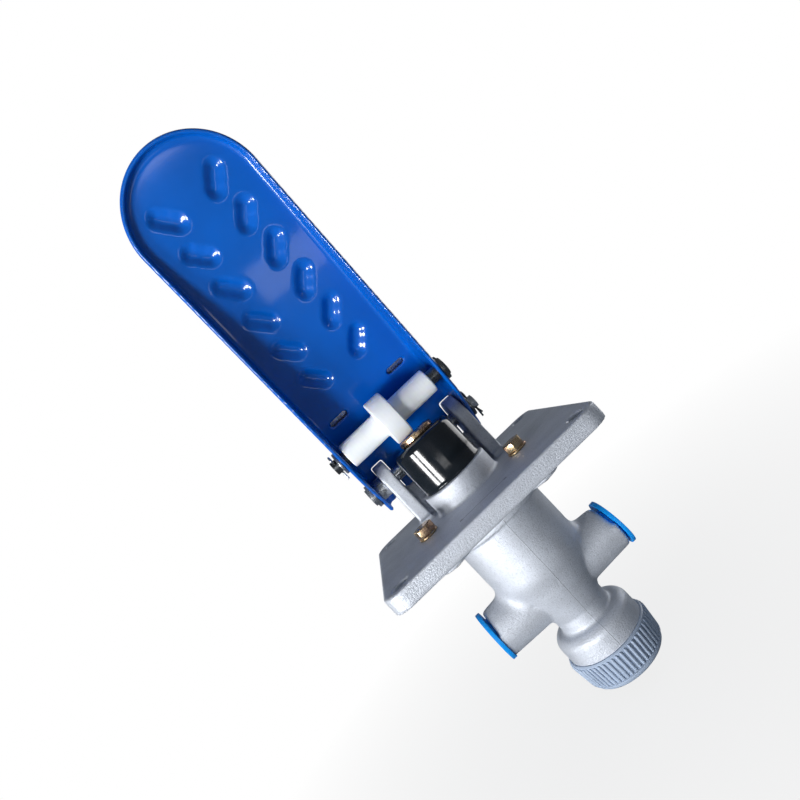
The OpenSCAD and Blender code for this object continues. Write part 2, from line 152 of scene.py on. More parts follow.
def take(piece):
    """Makes one object the only selected and active one."""
    deselect()
    piece.select_set(True)
    bpy.context.view_layer.objects.active = piece
    return piece


def apply_modifier(piece, kind, **settings):
    take(piece)
    modifier = piece.modifiers.new(kind.title(), kind)
    for key, value in settings.items():
        setattr(modifier, key, value)
    bpy.ops.object.modifier_apply(modifier=modifier.name)


def pick(piece, test):
    """In edit mode, selects the vertices whose place passes the test."""
    bpy.ops.mesh.select_mode(type="VERT")
    bpy.ops.mesh.select_all(action="DESELECT")
    bpy.ops.object.mode_set(mode="OBJECT")
    for vertex in piece.data.vertices:
        vertex.select = test(vertex.co)
    bpy.ops.object.mode_set(mode="EDIT")


def tidy_shell(piece, distance=0.00001):
    """Merges doubled vertices, then turns every face outwards."""
    take(piece)
    bpy.ops.object.mode_set(mode="EDIT")
    bpy.ops.mesh.select_all(action="SELECT")
    bpy.ops.mesh.remove_doubles(threshold=distance)
    bpy.ops.mesh.normals_make_consistent(inside=False)
    bpy.ops.object.mode_set(mode="OBJECT")


def smooth_shade(piece, angle=35):
    take(piece)
    bpy.ops.object.shade_smooth_by_angle(angle=math.radians(angle))


def join(pieces, name):
    deselect()
    for piece in pieces:
        piece.select_set(True)
    bpy.context.view_layer.objects.active = pieces[0]
    bpy.ops.object.join()
    pieces[0].name = name
    return pieces[0]


def outline(name, points, closed=True):
    """A wire through the points, or a filled face where it is closed."""
    mesh = bpy.data.meshes.new(name)
    edges = [(i, i + 1) for i in range(len(points) - 1)]
    mesh.from_pydata(points, edges, [list(range(len(points)))] if closed else [])
    piece = bpy.data.objects.new(name, mesh)
    bpy.context.scene.collection.objects.link(piece)
    return piece


def arc(centre, radius, start, end, steps=8):
    """Points on an arc in a lathe's profile, angles in degrees."""
    turns = [math.radians(start + (end - start) * i / steps) for i in range(steps + 1)]
    return [(centre[0] + radius * math.cos(t), centre[1] + radius * math.sin(t)) for t in turns]


def lathe(name, profile, along="Z", steps=96):
    """Spins a profile of (radius, height) points round the Z axis, or round X where along says so."""
    piece = outline(name, [(r, 0, h) for r, h in profile], closed=False)
    take(piece)
    bpy.ops.object.mode_set(mode="EDIT")
    bpy.ops.mesh.select_all(action="SELECT")
    bpy.ops.mesh.spin(steps=steps, angle=2 * math.pi, center=(0, 0, 0), axis=(0, 0, 1))
    bpy.ops.object.mode_set(mode="OBJECT")
    if along == "X":
        piece.data.transform(Matrix.Rotation(math.pi / 2, 4, "Y"))
    tidy_shell(piece)
    return piece


def prism(name, points, height):
    """A filled outline in the XY plane, extruded up."""
    piece = take(outline(name, [(x, y, 0) for x, y in points]))
    bpy.ops.object.mode_set(mode="EDIT")
    bpy.ops.mesh.select_all(action="SELECT")
    bpy.ops.mesh.extrude_region_move(TRANSFORM_OT_translate={"value": (0, 0, height)})
    bpy.ops.object.mode_set(mode="OBJECT")
    tidy_shell(piece)
    return piece


def cut(piece, cutter, operation="DIFFERENCE"):
    apply_modifier(piece, "BOOLEAN", object=cutter, operation=operation, solver="EXACT")
    bpy.data.objects.remove(cutter)


def node_copy(node, name):
    """A merged copy of a CAD node, to be finished by modifiers."""
    piece = bpy.data.objects.new(name, frame["nodes"][node].data.copy())
    piece.data.materials.clear()
    bpy.context.scene.collection.objects.link(piece)
    tidy_shell(piece)
    return piece


def soften(node, name, width=None, segments=2):
    """A copy of a CAD node with its sharp edges rounded."""
    piece = node_copy(node, name)
    apply_modifier(
        piece,
        "BEVEL",
        width=width or sizes().edge,
        segments=segments,
        limit_method="ANGLE",
        angle_limit=math.radians(40),
        harden_normals=False,
    )
    smooth_shade(piece)
    return piece


def dress(piece, body, slot, material, *nodes):
    """Gives a piece its material and its body, and hides the CAD nodes that it stands for."""
    piece.data.materials.clear()
    piece.data.materials.append(material)
    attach(piece, body)
    if nodes:
        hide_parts(*nodes)
    return piece


# Materials

NOISE = "ShaderNodeTexNoise"
RANGE = "ShaderNodeMapRange"
MIX = "ShaderNodeMix"
BUMP = "ShaderNodeBump"
MATH = "ShaderNodeMath"
COLOURS = {"data_type": "RGBA"}
ADD = {"operation": "ADD"}
SUBTRACT = {"operation": "SUBTRACT"}
MULTIPLY = {"operation": "MULTIPLY"}
MAXIMUM = {"operation": "MAXIMUM"}
ABSOLUTE = {"operation": "ABSOLUTE"}


def add(tree, kind, settings=None, out=0, **inputs):
    """Adds one shader node with its settings, sets or links its inputs, and returns an output."""
    made = tree.nodes.new(kind)
    for key, value in (settings or {}).items():
        setattr(made, key, value)
    for key, value in inputs.items():
        numbered = key[0] == "i" and key[1:].isdigit()
        socket = made.inputs[int(key[1:]) if numbered else key.replace("_", " ")]
        if isinstance(value, bpy.types.NodeSocket):
            tree.links.new(value, socket)
        elif socket.type == "RGBA" and len(value) == 3:
            socket.default_value = (*value, 1.0)
        else:
            socket.default_value = value
    return made.outputs[out] if made.outputs else None


def start_material(name):
    """An empty material, its nodes, and Object coordinates in metres."""
    material = bpy.data.materials.new(name)
    material.use_nodes = True
    tree = material.node_tree
    tree.nodes.clear()
    place = add(tree, "ShaderNodeTexCoord", out="Object")
    return material, tree, place


def end_material(tree, **inputs):
    """Joins the finished skin to the material's output."""
    skin = add(tree, "ShaderNodeBsdfPrincipled", **inputs)
    add(tree, "ShaderNodeOutputMaterial", Surface=skin)


def parting_line_with_shade(tree, place):
    """How strongly the mould's parting line shows: it wavers a little down the front and back of the body.
    Its strength makes a small step in the skin and darkens the colour as painted shade along the step.
    """
    across = add(tree, "ShaderNodeSeparateXYZ", out="X", Vector=place)
    waver = add(tree, NOISE, out="Fac", Vector=place, Scale=1 / (9 * MM), Detail=3.0, Roughness=0.55)
    waver = add(tree, MATH, SUBTRACT, i0=waver, i1=0.5)
    waver = add(tree, MATH, MULTIPLY, i0=waver, i1=0.6 * MM)
    offset = add(tree, MATH, ADD, i0=across, i1=waver)
    offset = add(tree, MATH, ABSOLUTE, i0=offset)
    return add(tree, RANGE, i0=offset, i1=0.02 * MM, i2=0.22 * MM, i3=0.6, i4=0.0)


def scribed_line_with_shade(tree, place):
    """How strongly the marking-out line shows: a scratch on the plate's top with a punch mark at each end.
    Its strength dents the skin and darkens the colour as painted shade in the scratch and the punch marks.
    """
    middle, front, half = 1 * MM, 48 * MM, 14 * MM
    sideways = add(tree, "ShaderNodeSeparateXYZ", out="X", Vector=place)
    depth = add(tree, "ShaderNodeSeparateXYZ", out="Y", Vector=place)
    height = add(tree, "ShaderNodeSeparateXYZ", out="Z", Vector=place)
    along = add(tree, MATH, ADD, i0=sideways, i1=middle)
    along = add(tree, MATH, ABSOLUTE, i0=along)
    across = add(tree, MATH, ADD, i0=depth, i1=front)
    across = add(tree, MATH, ABSOLUTE, i0=across)
    from_end = add(tree, MATH, SUBTRACT, i0=along, i1=half)
    from_end = add(tree, MATH, ABSOLUTE, i0=from_end)
    thin = add(tree, RANGE, i0=across, i1=0.3 * MM, i2=0.6 * MM, i3=1.0, i4=0.0)
    short = add(tree, RANGE, i0=along, i1=half - 0.5 * MM, i2=half - 0.2 * MM, i3=1.0, i4=0.0)
    line = add(tree, MATH, MULTIPLY, i0=thin, i1=short)
    narrow = add(tree, RANGE, i0=from_end, i1=0.7 * MM, i2=1.0 * MM, i3=1.0, i4=0.0)
    tall = add(tree, RANGE, i0=across, i1=1.3 * MM, i2=1.6 * MM, i3=1.0, i4=0.0)
    punch = add(tree, MATH, MULTIPLY, i0=narrow, i1=tall)
    marks = add(tree, MATH, MAXIMUM, i0=line, i1=punch)
    on_top = add(tree, RANGE, i0=height, i1=PLATE_TOP - 0.6 * MM, i2=PLATE_TOP - 0.3 * MM, i3=0.0, i4=1.0)
    return add(tree, MATH, MULTIPLY, i0=marks, i1=on_top)


def cast_aluminium(name, tone, mark):
    """Gravity-cast aluminium, shot-blasted: a matt silver skin with fine pits, soft clouds and one mark; the
    mark dents the skin and its colour is darkened along it as painted shade.
    """
    material, tree, place = start_material(name)
    light = tuple(tone)
    dull = tuple(c * 0.62 for c in light)
    dark = tuple(c * 0.2 for c in light)
    pits = add(tree, NOISE, out="Fac", Vector=place, Scale=1 / (0.9 * MM), Detail=4.0, Roughness=0.7)
    clouds = add(tree, NOISE, out="Fac", Vector=place, Scale=1 / (14 * MM), Detail=3.0, Roughness=0.55)
    cloudy = add(tree, RANGE, i0=clouds, i1=0.35, i2=0.65, i3=0.0, i4=0.35)
    pitted = add(tree, RANGE, i0=pits, i1=0.52, i2=0.68, i3=0.0, i4=0.6)
    mark_and_shade = mark(tree, place)
    # Painted shade: the mark's strength, cut to 0.6, darkens the colour towards dark along the groove or step
    shade = add(tree, MATH, MULTIPLY, i0=mark_and_shade, i1=0.6)
    colour = add(tree, MIX, COLOURS, out=2, i0=cloudy, i6=light, i7=dull)
    colour = add(tree, MIX, COLOURS, out=2, i0=pitted, i6=colour, i7=dull)
    colour = add(tree, MIX, COLOURS, out=2, i0=shade, i6=colour, i7=dark)
    normal = add(tree, BUMP, Height=pits, Distance=0.3 * MM, Strength=1.0)
    normal = add(tree, BUMP, Height=mark_and_shade, Distance=0.25 * MM, Strength=1.0, Normal=normal)
    rough = add(tree, RANGE, i0=pits, i1=0.3, i2=0.7, i3=0.42, i4=0.60)
    end_material(tree, Base_Color=colour, Metallic=0.45, Roughness=rough, Normal=normal)
    return material


def stove_enamel(tone):
    """Stove enamel on pressed steel: deep gloss over a slight orange peel, with specks of dust under it."""
    material, tree, place = start_material("Blue stove enamel")
    deep = tuple(c * 0.78 for c in tone)
    peel = add(tree, NOISE, out="Fac", Vector=place, Scale=1 / (3.5 * MM), Detail=2.0, Roughness=0.55)
    dust = add(tree, "ShaderNodeTexVoronoi", out="Distance", Vector=place, Scale=1 / (9 * MM))
    speck = add(tree, RANGE, i0=dust, i1=0.01, i2=0.05, i3=1.0, i4=0.0)
    patches = add(tree, NOISE, out="Fac", Vector=place, Scale=1 / (45 * MM), Detail=3.0, Roughness=0.55)
    patches = add(tree, RANGE, i0=patches, i1=0.3, i2=0.7, i3=0.0, i4=1.0)
    colour = add(tree, MIX, COLOURS, out=2, i0=patches, i6=tuple(tone), i7=deep)
    normal = add(tree, BUMP, Height=peel, Distance=0.015 * MM, Strength=1.0)
    normal = add(tree, BUMP, Height=speck, Distance=0.04 * MM, Strength=1.0, Normal=normal)
    end_material(
        tree,
        Base_Color=colour,
        Roughness=0.3,
        Specular_IOR_Level=0.12,
        Coat_Weight=0.8,
        Coat_Roughness=0.07,
        Normal=normal,
    )
    return material


def plated_steel(name, tone, second, roughness):
    """Electroplated steel: a thin bright skin whose passivation drifts between two tints."""
    material, tree, place = start_material(name)
    drift = add(tree, NOISE, out="Fac", Vector=place, Scale=1 / (9 * MM), Detail=2.0, Roughness=0.55)
    drift = add(tree, RANGE, i0=drift, i1=0.38, i2=0.62, i3=0.0, i4=1.0)
    marks = add(tree, NOISE, out="Fac", Vector=place, Scale=1 / (0.7 * MM), Detail=3.0, Roughness=0.55)
    colour = add(tree, MIX, COLOURS, out=2, i0=drift, i6=tone, i7=second)
    rough = add(tree, RANGE, i0=marks, i1=0.3, i2=0.7, i3=roughness * 0.8, i4=roughness * 1.3)
    normal = add(tree, BUMP, Height=marks, Distance=0.008 * MM, Strength=1.0)
    end_material(tree, Base_Color=colour, Metallic=1.0, Roughness=rough, Normal=normal)
    return material


def moulded_rubber(name, tone, roughness):
    """Moulded natural rubber, still glossy from its mould, with a faint bloom."""
    material, tree, place = start_material(name)
    bloomed = tuple(min(1.0, c * 2.2 + 0.01) for c in tone)
    bloom = add(tree, NOISE, out="Fac", Vector=place, Scale=1 / (8 * MM), Detail=3.0, Roughness=0.55)
    bloom = add(tree, RANGE, i0=bloom, i1=0.45, i2=0.75, i3=0.0, i4=0.25)
    wiped = add(tree, NOISE, out="Fac", Vector=place, Scale=1 / (5 * MM), Detail=3.0, Roughness=0.55)
    waves = add(tree, NOISE, out="Fac", Vector=place, Scale=1 / (4 * MM), Detail=3.0, Roughness=0.55)
    colour = add(tree, MIX, COLOURS, out=2, i0=bloom, i6=tuple(tone), i7=bloomed)
    rough = add(tree, RANGE, i0=wiped, i1=0.35, i2=0.65, i3=roughness * 0.8, i4=roughness * 1.4)
    normal = add(tree, BUMP, Height=waves, Distance=0.02 * MM, Strength=1.0)
    end_material(tree, Base_Color=colour, Roughness=rough, Normal=normal)
    return material


def turned_nylon(tone):
    """White polyamide, turned: waxy and a little translucent, with faint tool rings and edges that glow."""
    material, tree, place = start_material("White nylon")
    along = {"bands_direction": "X"}
    shaded = tuple(c * 0.92 for c in tone)
    rings = add(tree, "ShaderNodeTexWave", along, out="Fac", Vector=place, Scale=1 / (7 * MM), Distortion=0.4)
    milky = add(tree, NOISE, out="Fac", Vector=place, Scale=1 / (12 * MM), Detail=3.0, Roughness=0.55)
    milky = add(tree, RANGE, i0=milky, i1=0.4, i2=0.7, i3=0.0, i4=0.3)
    colour = add(tree, MIX, COLOURS, out=2, i0=milky, i6=tuple(tone), i7=shaded)
    normal = add(tree, BUMP, Height=rings, Distance=0.01 * MM, Strength=1.0)
    end_material(
        tree,
        Base_Color=colour,
        Roughness=0.38,
        Subsurface_Weight=0.35,
        Subsurface_Radius=(1.0, 0.8, 0.55),
        Subsurface_Scale=2.5 * MM,
        Normal=normal,
    )
    return material


def moulded_plastic(name, tone, roughness, size):
    """Injection-moulded plastic with the fine satin of its tool."""
    material, tree, place = start_material(name)
    shade = tuple(c * 0.82 for c in tone)
    satin = add(tree, NOISE, out="Fac", Vector=place, Scale=1 / size, Detail=2.0, Roughness=0.55)
    flow = add(tree, NOISE, out="Fac", Vector=place, Scale=1 / (10 * MM), Detail=3.0, Roughness=0.55)
    flow = add(tree, RANGE, i0=flow, i1=0.4, i2=0.7, i3=0.0, i4=0.5)
    colour = add(tree, MIX, COLOURS, out=2, i0=flow, i6=tuple(tone), i7=shade)
    normal = add(tree, BUMP, Height=satin, Distance=0.03 * MM, Strength=1.0)
    end_material(tree, Base_Color=colour, Roughness=roughness, Normal=normal)
    return material


def felted_fibre():
    """Grey silencer felt: matt, with a tangle of short fibres about 0.6 mm across."""
    material, tree, place = start_material("Silencer felt")
    fibre = add(tree, NOISE, out="Fac", Vector=place, Scale=1 / (0.6 * MM), Detail=5.0, Roughness=0.8)
    colour = add(tree, MIX, COLOURS, out=2, i0=fibre, i6=linear("#6E6E68"), i7=linear("#A3A39B"))
    normal = add(tree, BUMP, Height=fibre, Distance=0.4 * MM, Strength=1.0)
    end_material(tree, Base_Color=colour, Roughness=0.95, Normal=normal)
    return material


MATERIALS = {}


def make_materials():
    tones = colours()
    MATERIALS.update(
        cast_aluminium=cast_aluminium("Cast aluminium plate", tones.casting, scribed_line_with_shade),
        cast_body=cast_aluminium("Cast aluminium body", tones.casting, parting_line_with_shade),
        blue_enamel=stove_enamel(tones.enamel),
        yellow_zinc=plated_steel("Yellow zinc plate", tuple(tones.zinc), linear("#B0907A"), 0.24),
        bright_zinc=plated_steel("Bright zinc plate", linear("#C9CCCF"), linear("#A9ADB2"), 0.28),
        dark_steel=plated_steel("Dark oiled steel", linear("#7C7E7E"), linear("#5C5F62"), 0.30),
        spring_steel=plated_steel("Spring steel", linear("#9B9FA4"), linear("#7C8085"), 0.30),
        machined_aluminium=plated_steel("Machined aluminium", linear("#D2D5DA"), linear("#BFC3C9"), 0.26),
        brass=plated_steel("Machined brass", linear("#C9A95A"), linear("#B08D45"), 0.26),
        black_rubber=moulded_rubber("Glossy moulded rubber", tones.rubber, 0.12),
        seal_rubber=moulded_rubber("Seal rubber", linear("#17191B"), 0.45),
        gasket_paper=moulded_plastic("Gasket board", linear("#57544C"), 0.9, 0.8 * MM),
        white_nylon=turned_nylon(tones.nylon),
        azure_plastic=moulded_plastic("Azure polythene", tones.plug, 0.36, 1.5 * MM),
        grey_plastic=moulded_plastic("Grey moulded nylon", tones.cap, 0.42, 0.9 * MM),
        felt=felted_fibre(),
    )


# Operators, one for each group of pieces


class BRAKEVALVE_OT_castings(bpy.types.Operator):
    """Rounds the edges of the floor plate and of the valve body as castings are"""

    bl_idname = "brakevalve.castings"
    bl_label = "Castings"

    def execute(self, context):
        grain_size = sizes().casting_grain
        for node, name, material in (
            ("mounting_plate", "floor_plate_casting", "cast_aluminium"),
            ("valve_body", "valve_body_casting", "cast_body"),
        ):
            piece = node_copy(node, name)
            if node == "mounting_plate":
                piece = join([piece, self.back_web()], name)
            apply_modifier(piece, "REMESH", mode="VOXEL", voxel_size=grain_size, adaptivity=0.0)
            apply_modifier(piece, "SMOOTH", factor=0.5, iterations=2)
            if node == "valve_body":
                self.ease_shoulder(piece)
            smooth_shade(piece, 60)
            dress(piece, "valve", "cast_aluminium", MATERIALS[material], node)
        return {"FINISHED"}

    def back_web(self):
        """The low cast web that joins the two hinge ears behind the boot."""
        half, front, back, height = 25 * MM, 23 * MM, 27 * MM, 21 * MM
        web = prism("ear_web", [(-half, front), (half, front), (half, back), (-half, back)], height + 1 * MM)
        web.data.transform(Matrix.Translation((0, 0, PLATE_TOP - 1 * MM)))
        return web

    def ease_shoulder(self, piece):
        """Smooths the edge where the cylinder turns into the taper, which the mould has as one long curve."""
        outside = 20 * MM
        take(piece)
        bpy.ops.object.mode_set(mode="EDIT")
        pick(piece, lambda co: -54 * MM < co.z < -34 * MM and math.hypot(co.x, co.y) > outside)
        bpy.ops.mesh.vertices_smooth(factor=0.5, repeat=70)
        bpy.ops.object.mode_set(mode="OBJECT")


class BRAKEVALVE_OT_pedal(bpy.types.Operator):
    """Presses the pedal's tray with its bends, grip beads, slots and pin holes"""

    bl_idname = "brakevalve.pedal"
    bl_label = "Pedal"

    width = 73 * MM
    thickness = 2.2 * MM
    length = 208.7 * MM
    web = 8.1 * MM
    web_low = -15.5 * MM
    notch_top = 9.6 * MM
    notch_inner = 23.1 * MM
    notch_outer = 31.4 * MM
    wall_root = 27.3 * MM
    wall_toe = 8 * MM
    sideways = -2.8 * MM
    bead_side = 15.1 * MM
    bead_pitch = 21.45 * MM
    bead_half = 5.0 * MM
    bead_turn = math.radians(50)
    slot_side = 21.7 * MM
    slot_height = 45.4 * MM

    def blank(self):
        """The tray before its walls are trimmed: X across, Y out of the foot side, Z towards the toe."""
        radius = self.width / 2
        toe = self.length - radius
        back = self.web + self.thickness
        bend = sizes().tray_bend
        bpy.ops.mesh.primitive_circle_add(
            vertices=128, radius=radius, location=(0, back, toe), rotation=(math.pi / 2, 0, 0)
        )
        tray = bpy.context.active_object
        tray.name = "pedal_tray"
        bpy.ops.object.transform_apply(location=True, rotation=True)
        bpy.ops.object.mode_set(mode="EDIT")
        pick(tray, lambda co: co.z < toe - 1e-6)
        bpy.ops.mesh.delete(type="VERT")
        pick(tray, lambda co: co.z < toe + 1e-6)
        bpy.ops.mesh.extrude_region_move(TRANSFORM_OT_translate={"value": (0, 0, -toe - 25 * MM)})
        bpy.ops.mesh.edge_face_add()
        bpy.ops.mesh.select_all(action="SELECT")
        bpy.ops.mesh.edge_face_add()
        bpy.ops.mesh.select_all(action="SELECT")
        bpy.ops.mesh.extrude_region_move(TRANSFORM_OT_translate={"value": (0, -self.wall_root - 6 * MM, 0)})
        pick(tray, lambda co: co.y < back - self.wall_root)
        bpy.ops.mesh.delete(type="ONLY_FACE")
        bpy.ops.object.mode_set(mode="OBJECT")
        return tray, back, bend, toe

    def execute(self, context):
        tray, back, bend, toe = self.blank()
        tidy_shell(tray)
        low = tray.data.vertices
        bottom = min(v.co.z for v in low)
        bpy.ops.object.mode_set(mode="EDIT")
        pick(tray, lambda co: co.z < bottom + 1e-5)
        bpy.ops.mesh.delete(type="ONLY_FACE")
        pick(tray, lambda co: co.y > back - 1e-5)
        bpy.ops.mesh.bevel(offset=bend, segments=6, affect="EDGES")
        bpy.ops.object.mode_set(mode="OBJECT")
        web_face = max(tray.data.polygons, key=lambda p: p.area)
        inwards = -1.0 if web_face.normal.y > 0 else 1.0
        apply_modifier(tray, "SOLIDIFY", thickness=self.thickness, offset=inwards, use_even_offset=True)
        tidy_shell(tray)
        side = self.trim(tray, back, toe)
        apply_modifier(tray, "REMESH", mode="VOXEL", voxel_size=sizes().tray_voxel, adaptivity=0.0)
        apply_modifier(tray, "SMOOTH", factor=0.5, iterations=4)
        self.ease_rim(tray, side[2:])
        self.press_beads(tray, toe)
        hinge = Vector((self.sideways, HINGE.y, HINGE.z))
        lean = Matrix.Translation(hinge) @ Matrix.Rotation(PEDAL_LEAN, 4, "X")
        tray.data.transform(lean)
        smooth_shade(tray, 180)
        dress(tray, "pedal_arm", "blue_enamel", MATERIALS["blue_enamel"], "pedal")
        self.clips(back, lean)
        return {"FINISHED"}

    def clips(self, back, lean):
        """The two flat clips behind the slots, which hold the pad of the foot side."""
        long, wide, thick = 6.9 * MM, 3 * MM, 0.8 * MM
        for side_sign, name in ((-1, "left_pad_clip"), (1, "right_pad_clip")):
            clip = prism(name, [(-long, -wide), (long, -wide), (long, wide), (-long, wide)], thick)
            apply_modifier(clip, "BEVEL", width=0.3 * MM, segments=2)
            clip.data.transform(
                lean
                @ Matrix.Translation((side_sign * self.slot_side, back + 0.95 * MM, self.slot_height))
                @ Matrix.Rotation(math.pi / 2, 4, "X")
            )
            smooth_shade(clip)
            dress(clip, "pedal_arm", "bright_zinc", MATERIALS["bright_zinc"])

    def trim(self, tray, back, toe):
        """Cuts the walls to their side shape, then the slots and the pin holes."""
        root = back - self.wall_root
        lip = back - self.wall_toe
        side = [
            (back + 5 * MM, self.length + 5 * MM),
            (back + 5 * MM, self.web_low),
            (3 * MM, -16 * MM),
            (1 * MM, -16.5 * MM),
            (-1.4 * MM, -15.5 * MM),
            (root + 4 * MM, 10 * MM),
            (root + 0.6 * MM, 17 * MM),
            (root, 22 * MM),
            (root, 40 * MM),
            (root + 0.7 * MM, 46 * MM),
            (lip - 1.2 * MM, toe - 13 * MM),
            (lip, toe - 2 * MM),
            (lip, self.length + 5 * MM),
        ]
        keep = prism("pedal_side", side, 2 * self.width)
        to_side = Matrix(((0, 0, 1, -self.width), (1, 0, 0, 0), (0, 1, 0, 0), (0, 0, 0, 1)))
        keep.data.transform(to_side)
        tidy_shell(keep)
        cut(tray, keep, "INTERSECT")
        through = Matrix.Translation((0, back + 4 * MM, 0)) @ Matrix.Rotation(math.pi / 2, 4, "X")
        for ear in (-1, 1):
            low, high = sorted((ear * self.notch_inner, ear * self.notch_outer))
            corners = [(low, -30 * MM), (high, -30 * MM), (high, self.notch_top), (low, self.notch_top)]
            notch = prism("ear_notch", [(x - self.sideways, z) for x, z in corners], 20 * MM)
            notch.data.transform(through)
            cut(tray, notch)
        for side_sign in (-1, 1):
            slot = arc((4.4 * MM, 0), 1.7 * MM, -90, 90) + arc((-4.4 * MM, 0), 1.7 * MM, 90, 270)
            slot = [(x + side_sign * self.slot_side, z + self.slot_height) for x, z in slot]
            punch = prism("slot_punch", slot, 12 * MM)
            punch.data.transform(through)
            cut(tray, punch)
        bore, reach = 4.04 * MM, 60 * MM
        hinge_hole, roller_hole = (0, 0), (-9.25 * MM, 32.85 * MM)
        for y, z in (hinge_hole, roller_hole):
            drill = lathe("pin_drill", [(0, -reach), (bore, -reach), (bore, reach), (0, reach)], "X", 48)
            drill.data.transform(Matrix.Translation((0, y, z)))
            cut(tray, drill)
        return side

    def ease_rim(self, tray, side):
        """Smooths the free edge of the walls, which the remesh leaves in small steps."""
        corners = [Vector((0, y, z)) for y, z in side]

        def near_edge(co):
            flat = Vector((0, co.y, co.z))
            for start, end in zip(corners, corners[1:]):
                along = end - start
                share = max(0.0, min(1.0, (flat - start).dot(along) / along.length_squared))
                if (flat - start - along * share).length < 1.4 * MM:
                    return True
            return False

        take(tray)
        bpy.ops.object.mode_set(mode="EDIT")
        pick(tray, near_edge)
        bpy.ops.mesh.vertices_smooth(factor=0.5, repeat=20)
        bpy.ops.object.mode_set(mode="OBJECT")

    def press_beads(self, tray, toe):
        """Pushes each bead out to the foot side, and the sheet round it follows smoothly."""
        take(tray)
        bpy.ops.object.mode_set(mode="EDIT")
        for row in range(6):
            for sign in (-1, 1):
                centre = Vector((sign * self.bead_side, 0, toe + 6.6 * MM - row * self.bead_pitch))
                along = Vector((sign * math.cos(self.bead_turn), 0, math.sin(self.bead_turn)))

                def within(co, distance):
                    if co.y < self.web - 1 * MM:
                        return False
                    offset = Vector((co.x, 0, co.z)) - centre
                    reach = max(-self.bead_half, min(self.bead_half, offset.dot(along)))
                    return (offset - along * reach).length < distance

                pick(tray, lambda co: within(co, 0.9 * MM))
                bpy.ops.transform.translate(
                    value=(0, sizes().bead_depth, 0),
                    use_proportional_edit=True,
                    proportional_edit_falloff="SMOOTH",
                    proportional_size=sizes().bead_reach,
                )
                pick(tray, lambda co: within(co, sizes().bead_reach + 2 * MM))
                bpy.ops.mesh.vertices_smooth(factor=0.5, repeat=3)
        bpy.ops.object.mode_set(mode="OBJECT")


class BRAKEVALVE_OT_roller(bpy.types.Operator):
    """Turns the nylon roller with its running band and two hubs"""

    bl_idname = "brakevalve.roller"
    bl_label = "Roller"

    def execute(self, context):
        low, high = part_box("roller")
        half, middle = (high.x - low.x) / 2, (high.x + low.x) / 2
        hub, bore = 7.4 * MM, 4.08 * MM
        band, rim = 5.4 * MM, 14.3 * MM
        edge = 0.9 * MM
        right = [(bore, -half), (hub - edge, -half), *arc((hub - edge, -half + edge), edge, -90, 0, 4)]
        right += [(hub, -band - 1.0 * MM), *arc((hub + 1.0 * MM, -band - 1.0 * MM), 1.0 * MM, 180, 90, 4)]
        right += [(rim - edge, -band), *arc((rim - edge, -band + edge), edge, -90, 0, 4)]
        profile = right + [(r, -h) for r, h in reversed(right)]
        roller = lathe("nylon_roller", profile + [profile[0]], "X", 128)
        roller.data.transform(Matrix.Translation(ROLLER_PIN + Vector((middle, 0, 0))))
        smooth_shade(roller, 30)
        dress(roller, "pedal_roller", "white_nylon", MATERIALS["white_nylon"], "roller")
        return {"FINISHED"}


class BRAKEVALVE_OT_boot(bpy.types.Operator):
    """Turns the rubber boot and the plunger that it grips"""

    bl_idname = "brakevalve.boot"
    bl_label = "Boot and plunger"

    def execute(self, context):
        low, high = (corner.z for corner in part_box("rubber_boot"))
        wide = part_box("rubber_boot")[1].x
        shoulder = sizes().boot_shoulder
        wall = 2 * MM
        lip = 8.1 * MM
        bead = 0.9 * MM
        outside = [(wide - 0.5 * MM, low + 0.02 * MM)]
        outside += arc((wide - bead, low + bead), bead, -60, 40, 4)
        outside += [(wide - 0.5 * MM, low + 2.6 * MM), (wide - 0.35 * MM, low + 8 * MM)]
        outside += arc((wide - 0.5 * MM - shoulder, high - shoulder - 0.4 * MM), shoulder, 0, 82, 8)
        outside += [(13 * MM, high - 0.15 * MM)]
        outside += arc((lip + 1.2 * MM, high - 0.9 * MM), 0.85 * MM, 80, 180, 5)
        inside = [(lip, high - wall), (wide - wall - 2.5 * MM, high - wall - 0.6 * MM)]
        inside += [(wide - wall - 0.3 * MM, high - wall - 3.2 * MM), (wide - wall, low + 0.02 * MM)]
        profile = outside + inside
        boot = lathe("rubber_bellows_boot", profile + [profile[0]], "Z", 128)
        smooth_shade(boot, 50)
        dress(boot, "valve", "black_rubber", MATERIALS["black_rubber"], "rubber_boot")
        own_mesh(boot)
        self.plunger(high)
        return {"FINISHED"}

    def plunger(self, boot_top):
        low, high = (corner.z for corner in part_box("plunger"))
        head, neck, stem, cup = 10.8 * MM, 8.0 * MM, 10.0 * MM, 14.5 * MM
        ceiling = PLATE_TOP + 8 * MM
        step = 0.45 * MM
        profile = [(0, high), (head - 1.6 * MM, high), (head - 1.3 * MM, high - 0.25 * MM)]
        profile += [(head - step, high - 0.3 * MM), (head, high - 0.3 * MM - step), (head, boot_top + step)]
        profile += [(head - step, boot_top), (neck, boot_top)]
        profile += [(neck, boot_top - 2.6 * MM), (stem, boot_top - 3.0 * MM), (stem, ceiling), (cup, ceiling)]
        profile += [(cup, ceiling - 4 * MM), (8 * MM, ceiling - 4 * MM), (8 * MM, low), (5 * MM, low)]
        profile += [(5 * MM, ceiling + 10 * MM), (0, ceiling + 10 * MM)]
        plunger = lathe("plunger_turned", profile, "Z", 128)
        smooth_shade(plunger, 30)
        dress(plunger, "push_plunger", "yellow_zinc", MATERIALS["yellow_zinc"], "plunger")


